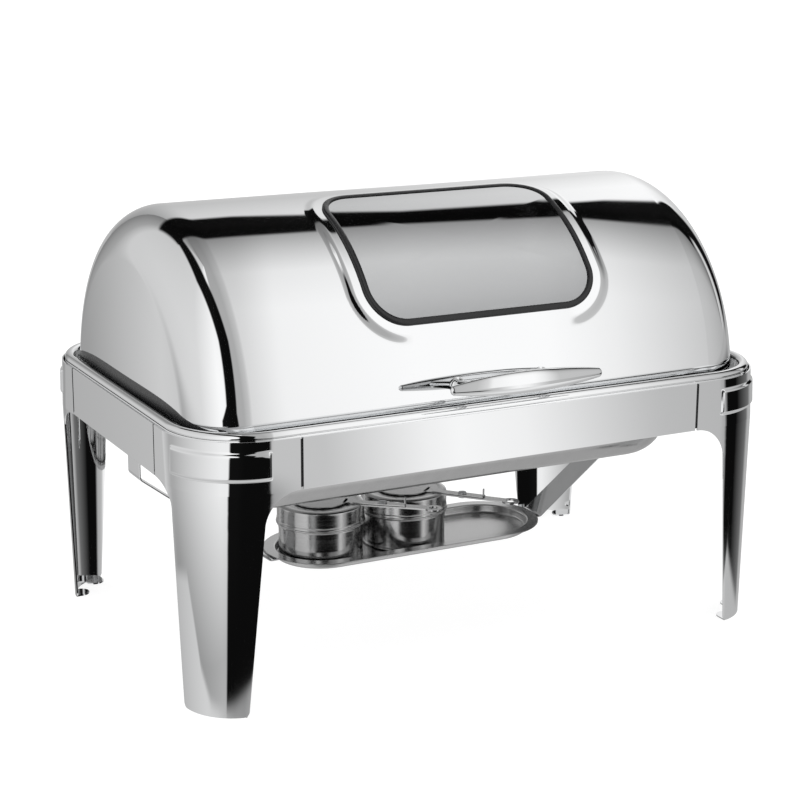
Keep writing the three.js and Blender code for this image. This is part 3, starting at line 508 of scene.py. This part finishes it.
def build_dome():
    angles = np.concatenate([np.linspace(0, 22, 25)[:-1], np.linspace(22, 90, 152)[:-1], np.linspace(90, 180, 91)])
    along = np.concatenate([np.linspace(-253, -141, 40)[:-1], np.linspace(-141, 154, 198)[:-1],
                            np.linspace(154, 253, 36)])
    skins = []
    for t in (0.0, DOME_SHEET):
        half = dome_profile(t)
        barrel = [(x, 1 - t / DOME_RY) for x in along]
        rows = []
        for x, share in [(-x, s) for x, s in half] + barrel + half[::-1]:
            xs = np.full_like(angles, x)
            rise = panel_rise(xs, angles) if abs(x) < 200 else 0 * angles
            rows.append(dome_points(xs, share, angles, rise))
        skins.append(np.array(rows))
    m, n = skins[0].shape[:2]
    xs = np.broadcast_to(skins[0][:, :, 0], (m, n))
    inside = outside_window(xs, np.broadcast_to(angles, (m, n))) < -3.5
    inside &= np.abs(xs) < 200

    def at(side, i, j):
        return side * m * n + i * n + j

    faces, rim = [], {}
    for i in range(m - 1):
        for j in range(n - 1):
            corners = [(i, j), (i, j + 1), (i + 1, j + 1), (i + 1, j)]
            if any(inside[c] for c in corners):
                continue
            faces.append([at(0, *c) for c in corners])
            faces.append([at(1, *c) for c in corners[::-1]])
            for k in range(4):
                edge = (corners[k], corners[(k + 1) % 4])
                key = frozenset(edge)
                rim[key] = None if key in rim else edge
    for edge in rim.values():
        if edge:
            (a, b) = edge
            faces.append([at(0, *b), at(0, *a), at(1, *a), at(1, *b)])
    shell = (np.concatenate([s.reshape(-1, 3) for s in skins]), faces)
    ears = [moved(lathe([(8.3, 0), (17.6, 0), (18, 0.3), (18, 0.9), (17.6, 1.2), (8.3, 1.2), (8.3, 0)], 72),
                  (side * 303.7 if side > 0 else -304.9, 0, AXIS_Z), Matrix.Rotation(math.pi / 2, 4, "Y"))
            for side in (-1, 1)]
    piece("dome_skin", [shell, *ears], MIRROR, "dome", "mirror_steel", "dome_shell", angle=50)
    # Dark strips at the foot of each end wall: painted shade, in the seal's black.
    for name, side in (("left", -1), ("right", 1)):
        piece(f"end_shadow_strip_{name}", [end_shadow_strip(side)], RUBBER_AND_PAINTED_SHADE, "dome", "rubber")
    build_window()
    build_handle()


def end_shadow_strip(side):
    """Thin dark strip along the foot of an end wall, with a low arched upper edge: painted shade where the end wall
    meets the rim.
    """
    ys = np.linspace(-178, 178, 61)
    flat = DOME_RY - END_FILLET
    rings = []
    for y in ys:
        top = 266.6 + 15.0 * (1 - (abs(y) / 178) ** 4)
        ring = []
        for out, shares in ((0.55, np.linspace(0, 1, 5)), (-0.3, np.linspace(1, 0, 5))):
            for share in shares:
                z = 266.2 + (top - 266.2) * share
                k = math.hypot(y, (z - AXIS_Z) * DOME_RY / DOME_RZ) / flat
                if k <= 1:
                    x = DOME_END - END_CROWN * k * k
                else:
                    lean = math.asin(min(1, (k - 1) * flat / END_FILLET))
                    x = DOME_END - END_CROWN - END_FILLET * (1 - math.cos(lean))
                ring.append((side * (x + out), y, z))
        rings.append(ring)
    return loops(rings, closed=False)


def window_outline(grow):
    """Rounded outline of the window, grown by some mm: [x, s] points all the way round."""
    return outline(WINDOW_X + grow, WINDOW_S + grow, WINDOW_CORNER + grow, 20)


def on_window(flat, n):
    """Outline laid on the raised panel, n mm above it."""
    x, s = flat[:, 0] + WINDOW_OFF, flat[:, 1]
    a = WINDOW_MID + np.degrees(s / WINDOW_R)
    return dome_points(x, 1.0, a, PAD_RISE + n)


def build_window():
    section = rounded([(0, 0.3), (0, 1.6), (-1.6, 2.5), (-4.6, 2.3), (-6.6, 1.3), (-5.2, 1.3), (-5.2, -2.5), (-9, -2.5),
                       (-7.5, -4), (-2, -4), (0, -3.2), (0, -2), (-3.8, -2), (-3.8, 0.3)], 0.7, 4)
    seal = loops([on_window(window_outline(t), n) for t, n in section])
    piece("window_gasket", [seal], RUBBER_AND_PAINTED_SHADE, "dome", "rubber", "window_seal", angle=60)
    flat = window_outline(-5.6)
    shares = np.linspace(0.01, 1, 24)
    rings = [on_window(flat * k, 0.9) for k in shares] + [on_window(flat * k, -2.1) for k in shares[::-1]]
    piece("window_pane", [loops(rings, closed=False)], GLASS, "dome", "glass", "window_glass", angle=50)


def at_handle(part, x, distance):
    """Part with +Z outwards, set on the handle's line at a distance from the pivots."""
    a = math.radians(HANDLE_ANGLE)
    offset = (x, -distance * math.cos(a), AXIS_Z + distance * math.sin(a))
    return moved(part, offset, Matrix.Rotation(math.pi / 2 - a, 4, "X"))


def build_handle():
    rings = []
    for t in np.concatenate([np.linspace(-1, -0.9, 14)[:-1], np.linspace(-0.9, 0.9, 41), np.linspace(0.9, 1, 14)[1:]]):
        tip = math.sqrt(max(0.0, 1 - max(0.0, (abs(t) - 0.955) / 0.045) ** 2))
        swell = (0.36 + 0.64 * (1 - t * t)) * max(tip, 0.02)
        a = np.linspace(0, 2 * math.pi, 40, endpoint=False)
        rings.append(np.column_stack([np.full(40, t * HANDLE_HALF), 10.8 * swell * np.cos(a), 7 * swell * np.sin(a)]))
    bar = at_handle(loops(rings, closed=False), WINDOW_OFF, HANDLE_RADIUS)
    piece("handle_spindle", [bar], MIRROR, "dome", "mirror_steel", "handle_bar", angle=60)
    skin, back = DOME_RY + 0.4, HANDLE_RADIUS - 3
    profile = [(0, skin + 0.3), (8, skin + 0.3), (8, skin + 1.6), *arc(8 - 3.0 + 3.4, skin + 5.4, 3.4, 262, 180, 8),
               (5, back), (0, back)]
    for name, side in (("left", -1), ("right", 1)):
        piece(f"handle_stem_{name}", [at_handle(lathe(profile, 48), WINDOW_OFF + side * POST_X, 0)], MIRROR, "dome",
              "mirror_steel", f"handle_post_{name}")


# ---- pans --------------------------------------------------------------------------------------
def pan_wall(hx, hy, r, top, bottom, draft, fillet, steps=10):
    """Levels down a drawn wall and round its foot: [half length, half width, corner radius, height]."""
    out = [(hx, hy, r, top), (hx - draft * 0.5, hy - draft * 0.5, r - draft / 4, (top + bottom + fillet) / 2)]
    for k in range(steps + 1):
        a = math.pi / 2 * k / steps
        drop = draft + fillet * (1 - math.cos(a))
        out.append((hx - drop, hy - drop, max(8, r - drop), bottom + fillet * (1 - math.sin(a))))
    return out


def build_pans():
    rim, top = 262.6, 264.1                    # underside and top of each pan's flange
    water = pan_wall(256.8, 153.8, 60.8, top, 167.2, 5, 37)[::-1] + [(259, 156, 60, top), (287.9, 172.9, 42, top),
            (288.5, 173.5, 42.5, top - 0.4), (288.5, 173.5, 42.5, rim + 0.4), (287.9, 172.9, 42, rim)]
    water += pan_wall(258, 155, 62, rim, 166, 5, 38)
    piece("water_pan_pressing", [level_loops(water)], PRESSED, "water_pan", "satin_steel", "water_pan")
    rim, top = 264.4, 265.6
    food = pan_wall(251, 148.5, 56, top, 200.6, 7, 15)[::-1] + [(264.4, 161.9, 40, top), (265, 162.5, 40, top - 0.4),
            (265, 162.5, 40, rim + 0.3), (264.4, 161.9, 40, rim)]
    food += pan_wall(252.2, 149.7, 57.2, rim, 199.4, 7, 16)
    piece("food_pan_pressing", [level_loops(food)], PRESSED, "food_pan", "satin_steel", "food_pan")
    ledge = [(290.7, 175.7, 44.7, 260.3), (291, 176, 45, 260.6), (291, 176, 45, 262), (290.7, 175.7, 44.7, 262.3),
             (274.3, 166.8, 28.3, 262.3), (274, 166.5, 28, 262), (274, 166.5, 28, 260.6), (274.3, 166.8, 28.3, 260.3)]
    piece("carrier_ledge", [level_loops(ledge, closed=True)], PRESSED, "stand", "satin_steel", "carrier_ring")


# ---- fuel tray and burners ---------------------------------------------------------------------
def stadium(r, steps=36):
    """Outline of the tray at distance r from the line between its outer burners' middles."""
    points = []
    for sx, start in ((1, -90), (-1, 90)):
        for k in range(steps + 1):
            a = math.radians(start + 180 * k / steps)
            points.append((sx * BURNER_PITCH + r * math.cos(a), r * math.sin(a)))
        x, y = points[-1]
        points += [(x - sx * 2 * BURNER_PITCH * k / 12, y) for k in range(1, 12)]
    return np.array(points)


def stadium_loops(levels, closed=True):
    rings = []
    for r, z in levels:
        flat = stadium(r)
        rings.append(np.column_stack([flat, np.full(len(flat), z)]))
    return loops(rings, closed)


def strip(path, y0, y1, t):
    """Bent strip: a path in X and Z, rounded at its bends, with a width in Y and thickness 2 t."""
    path = np.array(path, float)
    way = np.gradient(path, axis=0)
    way /= np.linalg.norm(way, axis=1)[:, None]
    normal = np.column_stack([-way[:, 1], way[:, 0]]) * t
    edge = 0.4
    rings = []
    for p, n in zip(path, normal):
        ring = []
        for v, w in ((y0 + edge, 1), (y1 - edge, 1), (y1, 0.4), (y1, -0.4), (y1 - edge, -1), (y0 + edge, -1),
                     (y0, -0.4), (y0, 0.4)):
            ring.append((p[0] + n[0] * w, v, p[1] + n[1] * w))
        rings.append(ring)
    return loops(rings, closed=False)


def bend(points, radius, steps=8):
    """Open path with its inner corners rounded to a radius."""
    points = [np.array(p, float) for p in points]
    out = [tuple(points[0])]
    for a, p, b in zip(points, points[1:], points[2:]):
        u, v = (a - p) / np.linalg.norm(a - p), (b - p) / np.linalg.norm(b - p)
        half = math.acos(np.clip(u @ v, -1, 1)) / 2
        reach = min(radius / math.tan(half), 0.48 * np.linalg.norm(a - p), 0.48 * np.linalg.norm(b - p))
        for t in np.linspace(0, 1, steps):
            out.append(tuple(p + reach * ((1 - t) ** 2 * u + t ** 2 * v)))
    out.append(tuple(points[-1]))
    return out


def lid_parts():
    inner, t = BURNER_R + 0.3, 1.2
    low = 101.5
    cap = [(22, LID_TOP - t), (inner, LID_TOP - t), (inner, low), (inner + t, low), (inner + t, low + 1.0)]
    cap += arc(inner + t, low + 2.6, 1.1, -80, 80, 8)
    cap += [(inner + t, low + 4.4), (inner + t, low + 6), (inner + t + 0.35, low + 6.6), (inner + t, low + 7.2),
            (inner + t, LID_TOP - 3), (inner + t - 0.4, LID_TOP - 1.2), (inner + t - 1.6, LID_TOP - 0.3),
            (inner - 2.6, LID_TOP), (inner - 6.5, LID_TOP - 0.05), (inner - 7.2, LID_TOP - 0.45),
            (22, LID_TOP - 0.45), (22, LID_TOP - t)]
    return [lathe(cap, 128)]


def flat_shape(shape, z0, z1, edge=0.25):
    """Flat plate from an outline, with softened edges."""
    shape = np.array(shape, float)
    centre = shape.mean(0)
    small = centre + (shape - centre) * (1 - edge / np.abs(shape - centre).max())
    return loops([np.column_stack([s, np.full(len(shape), z)]) for s, z in
                  ((small, z0), (shape, z0 + edge), (shape, z1 - edge), (small, z1))], closed=False)


def build_fuel():
    z0 = TRAY_Z - SHEET
    section = [(TRAY_HALF - 0.5, z0), (TRAY_HALF, z0 + 0.4), (TRAY_HALF, TRAY_Z - 0.4), (TRAY_HALF - 0.5, TRAY_Z),
               (TROUGH_R + 0.4, TRAY_Z)]
    section += arc(TROUGH_R + 0.4, TRAY_Z - 2, 2.0, 90, 165, 6)
    section += arc(TROUGH_R - 4.0, TROUGH_FLOOR + 2.2, 2.2, 0, -90, 6)
    section += [(20, TROUGH_FLOOR), (0.01, TROUGH_FLOOR), (0.01, TROUGH_FLOOR - SHEET), (20, TROUGH_FLOOR - SHEET)]
    section += arc(TROUGH_R - 4.0, TROUGH_FLOOR + 2.0, 3.5, -90, 0, 6)
    section += arc(TROUGH_R + 0.9, TRAY_Z - 2.6, 1.0, 165, 90, 4)
    piece("fuel_tray_pressing", [stadium_loops(section)], BRUSHED, "stand", "satin_steel", "fuel_tray")
    foot, out = z0 - 0.3 - SHEET / 2, 298.9 - SHEET / 2
    path = bend([(146.5, foot), (161, foot), (out, 179), (out, 228)], 6)
    for name, side in (("left", -1), ("right", 1)):
        strap = strip(path, -16.5, 16.5, SHEET / 2)
        piece(f"tray_hanger_{name}", mirrored([strap], side, 1), MIRROR, "stand", "mirror_steel",
              f"tray_strap_{name}")
    floor = TROUGH_FLOOR + 0.3
    pot = [(0, floor + 0.6), (BURNER_R - 5, floor + 0.6), (BURNER_R - 4, floor), (BURNER_R - 1.5, floor),
           (BURNER_R, floor + 1.2), (BURNER_R, floor + 2.6), (BURNER_R - 0.5, floor + 3.1),
           (BURNER_R - 0.2, floor + 3.8), (BURNER_R - 0.2, 96), (BURNER_R, 96.6), (BURNER_R, POT_TOP),
           (BURNER_R - 1.2, POT_TOP), (BURNER_R - 1.2, floor + 3), (BURNER_R - 3.2, floor + 1.8), (0, floor + 1.8)]
    for i, (x, turn) in enumerate(BURNERS, start=1):
        spin = Matrix.Rotation(math.radians(turn), 4, "Z")
        piece(f"burner_pot_{i}", [moved(lathe(pot, 128), (x, 0, 0))], TURNED, f"holder_{i}", "satin_steel",
              f"fuel_holder_{i}")
        parts = lid_parts() + [lid_handle()]
        piece(f"burner_lid_{i}", [moved(p, (x, 0, 0), spin) for p in parts], TURNED, f"lid_{i}", "satin_steel",
              f"holder_lid_{i}")
        piece(f"burner_damper_{i}", [moved(p, (x, 0, 0), spin) for p in damper_parts()], BRUSHED, f"damper_{i}",
              "satin_steel", f"damper_{i}")


def lid_handle():
    """Flat handle of the lid with an eye at its end: outline with the eye cut out as one closed loop."""
    eye, reach, half = 9.0, 128.0, 5.5
    cx = reach - eye
    left = math.asin(half / eye)
    outer = [(40, -half)] + [(cx + eye * math.cos(a), eye * math.sin(a))
                             for a in np.linspace(-math.pi + left, math.pi - left, 33)] + [(40, half)]
    hole = [(cx + 4.5 * math.cos(a), 4.5 * math.sin(a)) for a in np.linspace(math.pi, -math.pi, 33)]
    z0, z1 = LID_TOP - SHEET, LID_TOP
    bm = bmesh.new()
    rows = []
    for ring in (outer, hole[:-1]):
        rows.append([[bm.verts.new((x, y, z)) for x, y in ring] for z in (z0, z1)])
    for side in (0, 1):
        edges = []
        for low, high in rows:
            line = (low, high)[side]
            edges += [bm.edges.new((line[k], line[(k + 1) % len(line)])) for k in range(len(line))]
        bmesh.ops.triangle_fill(bm, edges=edges, use_beauty=True)
    for low, high in rows:
        for k in range(len(low)):
            l = (k + 1) % len(low)
            bm.faces.new((low[k], low[l], high[l], high[k]))
    bm.verts.index_update()
    points = [list(v.co) for v in bm.verts]
    faces = [[v.index for v in f.verts] for f in bm.faces]
    bm.free()
    return points, faces


def damper_parts():
    z0 = LID_TOP + 0.3
    z1 = z0 + 1.2
    disc = lathe([(0, z0), (28.3, z0), (28.6, z0 + 0.3), (28.6, z1 - 0.3), (28.3, z1), (0, z1)], 96)
    lever = flat_shape([(25, -8), (31, -5.2), (36, -4.5), (90, -4.5), (90, 4.5), (36, 4.5), (31, 5.2), (25, 8)], z0, z1)
    tab = slab(88.8, 90, -1.6, 1.6, z0 + 0.2, z0 + 9, 0.3)
    return [disc, lever, tab]


# ---- kept CAD pieces ---------------------------------------------------------------------------
def dress(prefix, material):
    """Scene material for the CAD pieces that are kept as they are."""
    for name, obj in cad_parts.items():
        if name.startswith(prefix):
            for slot in obj.material_slots:
                slot.material = material


def build_fittings():
    for prefix in ("leg_nut", "pivot_bracket", "pivot_pin", "pivot_nut", "carrier_rivet", "strap_bolt",
                   "damper_rivet", "handle_screw"):
        dress(prefix, ZINC)
    dress("pivot_plate", PRESSED)
    dress("friction_washer", PAD)
    dress("pivot_bush", NYLON)
    for name, side in (("left", -1), ("right", 1)):
        block = slab(side * 150 - 14, side * 150 + 14, -214.4, -184, 236, 245.7, 1.6)
        piece(f"rest_bumper_{name}", [block], RUBBER_AND_PAINTED_SHADE, "stand", "rubber", f"closing_bumper_{name}")


# ---- studio ------------------------------------------------------------------------------------
class Field:
    """Number that varies with direction, built up from math nodes of the world."""

    def __init__(self, tree, socket):
        self.tree, self.socket = tree, socket

    def join(self, kind, *others):
        n = node(self.tree, "ShaderNodeMath", operation=kind)
        for port, value in zip(n.inputs, (self, *others)):
            if isinstance(value, Field):
                self.tree.links.new(value.socket, port)
            else:
                port.default_value = value
        return Field(self.tree, n.outputs[0])

    def __add__(self, other):
        return self.join("ADD", other)

    def __sub__(self, other):
        return self.join("SUBTRACT", other)

    def __mul__(self, other):
        return self.join("MULTIPLY", other)

    def over(self, lo, hi, smooth=True):
        """0 up to lo, 1 from hi."""
        n = node(self.tree, "ShaderNodeMapRange")
        n.interpolation_type = "SMOOTHSTEP" if smooth else "LINEAR"
        n.inputs["From Min"].default_value = lo
        n.inputs["From Max"].default_value = hi
        self.tree.links.new(self.socket, n.inputs["Value"])
        return Field(self.tree, n.outputs["Result"])

    def line(self, *stops):
        """Broken line through (position, value) stops."""
        total = None
        for (x0, y0), (x1, y1) in zip(stops, stops[1:]):
            part = self.over(x0, x1, False) * (y1 - y0)
            total = part + y0 if total is None else total + part
        return total

    def mix(self, other, share):
        """This where share is 0, other where it is 1."""
        return self + (other - self) * share


def studio_light(tree):
    """Soft boxes in front, overhead and to the left, edged by black cards."""
    coords = node(tree, "ShaderNodeTexCoord")
    split = node(tree, "ShaderNodeSeparateXYZ")
    tree.links.new(coords.outputs["Generated"], split.inputs[0])
    x, y, z = (Field(tree, split.outputs[k]) for k in range(3))
    front = y * -1.0
    degrees = 180 / math.pi
    azimuth = x.join("ARCTAN2", front) * degrees        # 0 in front, 90 to the right
    height = z.join("ARCSINE") * degrees
    side = x.join("ARCSINE") * degrees                  # off the plane x = 0
    turn = z.join("ARCTAN2", front) * degrees           # about X: 0 in front, 90 overhead

    # Overhead card, from the top of the left card to the top of the right one.
    low = side.line((22, 115), (27, 112), (32, 106), (35, 90), (50, 92))
    high = side.line((22, 139), (27, 126), (33, 122), (35, 114), (50, 135))
    card_top = (turn - low).over(-1.5, 1.5) * (high - turn).over(-1.5, 2.5)
    card_top *= side.over(-19, -14) * (side * -1.0).over(-62, -56)
    # Left card: upright in front on the left, leaning in overhead.
    left_edge = turn.line((0, -37), (9, -26), (45, -20), (85, -23), (98, -20), (125, -13))
    right_edge = turn.line((-19, 22), (-13, 10), (-5, -1), (5, -5), (43, 0), (80, -7))
    card_left = (side - left_edge).over(-1.5, 1.5) * (right_edge - side).over(-1.5, 1.5)
    card_left *= (turn * -1.0).over(-130, -122) * turn.over(-60, -45)
    # Right card, and a lower one beside the floor.
    card_right = azimuth.over(100, 104) * (azimuth * -1.0).over(-122, -116)
    card_right *= height.over(-6, 0) * (height * -1.0).over(-50, -44)
    card_low = azimuth.line((44, 0), (49, 1), (70, 1), (102, 0.65), (112, 0))
    card_low *= height.over(-24, -21) * (height * -1.0).over(4, 10)

    # Left box: dim towards the back, bright at the front, and dimmer low down.
    left = azimuth.line((-180, 0.22), (-165, 0.4), (-156, 0.68), (-80, 0.8), (-40, 1.1))
    left *= height.line((20, 1), (55, 0.93))
    left_low = azimuth.line((-180, 0.33), (-166, 0.37), (-156, 0.68), (-138, 0.44), (-130, 0.45), (-50, 0.97))
    left_low *= height.line((-24, 0.5), (-19, 1))
    left = left_low.mix(left, height.over(-14, -2))
    # Front box: brightest in its middle, with soft shoulders, dimmer near the overhead card.
    box = side.line((10, 0.46), (20, 0.6), (22, 0.78), (23, 1.02), (27, 1.12), (31, 1.12), (33, 0.98), (36, 0.62),
                    (80, 0.5))
    box *= (low - turn).line((0, 0.38), (30, 0.9), (55, 1))
    box_low = side.line((10, 0.5), (24, 0.62), (27, 1), (28, 1.07), (30, 1), (34, 0.56), (40, 0.46))
    box = box_low.mix(box, turn.over(-9, -3))
    ceiling = side.line((-30, 0.6), (0, 0.46), (25, 0.8), (34, 1.1), (60, 0.7))
    ceiling *= turn.line((138, 1), (165, 0.78))
    light = box.mix(ceiling, (turn - low).over(6, 14))
    light = light.mix(left, (azimuth * -1.0).over(15, 30))
    dark = (card_top + card_left + card_right + card_low).over(0, 1, False)
    light = light.mix(light * 0.004 + 0.002, dark)
    floor = azimuth.line((-180, 0.45), (-85, 0.73), (-60, 0.73), (-26, 0.42), (-5, 0.35), (20, 0.5), (40, 0.95),
                         (60, 0.53), (180, 0.48))
    floor = floor.mix(floor * 0.0 + 0.62, (height * -1.0).over(40, 80))    # even straight below
    edge = azimuth.line((-115, -21.5), (-95, -24), (-75, -25), (5, -26.5), (40, -25), (60, -21))
    return light.mix(floor, (edge - height).over(-0.3, 0.3))


def build_studio():
    """Plain white world with the studio in its reflections, and a pale floor."""
    scene = bpy.context.scene
    scene.view_settings.view_transform = "Standard"
    world = bpy.data.worlds.new("studio")
    scene.world = world
    world.use_nodes = True
    tree = world.node_tree
    reflected = tree.nodes["Background"]
    plain = node(tree, "ShaderNodeBackground", Color=(1, 1, 1, 1), Strength=1.0)
    rays = node(tree, "ShaderNodeLightPath")
    blend = node(tree, "ShaderNodeMixShader")
    tree.links.new(studio_light(tree).socket, reflected.inputs["Strength"])
    reflected.inputs["Color"].default_value = (1, 1, 1, 1)
    tree.links.new(rays.outputs["Is Glossy Ray"], blend.inputs[0])
    tree.links.new(plain.outputs[0], blend.inputs[1])
    tree.links.new(reflected.outputs[0], blend.inputs[2])
    tree.links.new(blend.outputs[0], tree.nodes["World Output"].inputs["Surface"])
    bm = bmesh.new()
    bmesh.ops.create_grid(bm, x_segments=8, y_segments=8, size=30)
    mesh = bpy.data.meshes.new("floor")
    bm.to_mesh(mesh)
    bm.free()
    floor = bpy.data.objects.new("floor", mesh)
    scene.collection.objects.link(floor)
    material, tree, shader = new_material("studio_floor", (0.3, 0.3, 0.3), 0.0, 0.9)
    shader.inputs["Emission Color"].default_value = (1, 1, 1, 1)
    shader.inputs["Emission Strength"].default_value = 0.85
    mesh.materials.append(material)
    floor.visible_glossy = False


VIEW_AZIMUTH, VIEW_ELEVATION, VIEW_ROLL = 27.34, 14.91, 0.21    # degrees
VIEW_FROM = (-0.8984, -1.7248 + MIDDLE_Y, 0.7392)                # metres
VIEW_LENS, VIEW_SHIFT = 86.56, (0.0022, -0.001)


def build_camera():
    """Camera at the front left, looking down on the whole a little."""
    azimuth, elevation, roll = (math.radians(v) for v in (VIEW_AZIMUTH, VIEW_ELEVATION, VIEW_ROLL))
    forward = Vector((math.sin(azimuth) * math.cos(elevation), math.cos(azimuth) * math.cos(elevation),
                      -math.sin(elevation)))
    right = Vector((math.cos(azimuth), -math.sin(azimuth), 0))
    up = right.cross(forward)
    right, up = (right * math.cos(roll) + up * math.sin(roll), up * math.cos(roll) - right * math.sin(roll))
    camera = bpy.data.cameras.new("camera")
    camera.sensor_width = 36
    camera.lens = VIEW_LENS
    camera.shift_x, camera.shift_y = VIEW_SHIFT
    camera.clip_end = 100
    obj = bpy.data.objects.new("camera", camera)
    bpy.context.scene.collection.objects.link(obj)
    obj.matrix_world = Matrix((
        (right.x, up.x, -forward.x, VIEW_FROM[0]),
        (right.y, up.y, -forward.y, VIEW_FROM[1]),
        (right.z, up.z, -forward.z, VIEW_FROM[2]),
        (0, 0, 0, 1)))
    bpy.context.scene.camera = obj


build_camera()
build_studio()
build_stand()
build_dome()
build_pans()
build_fuel()
build_fittings()
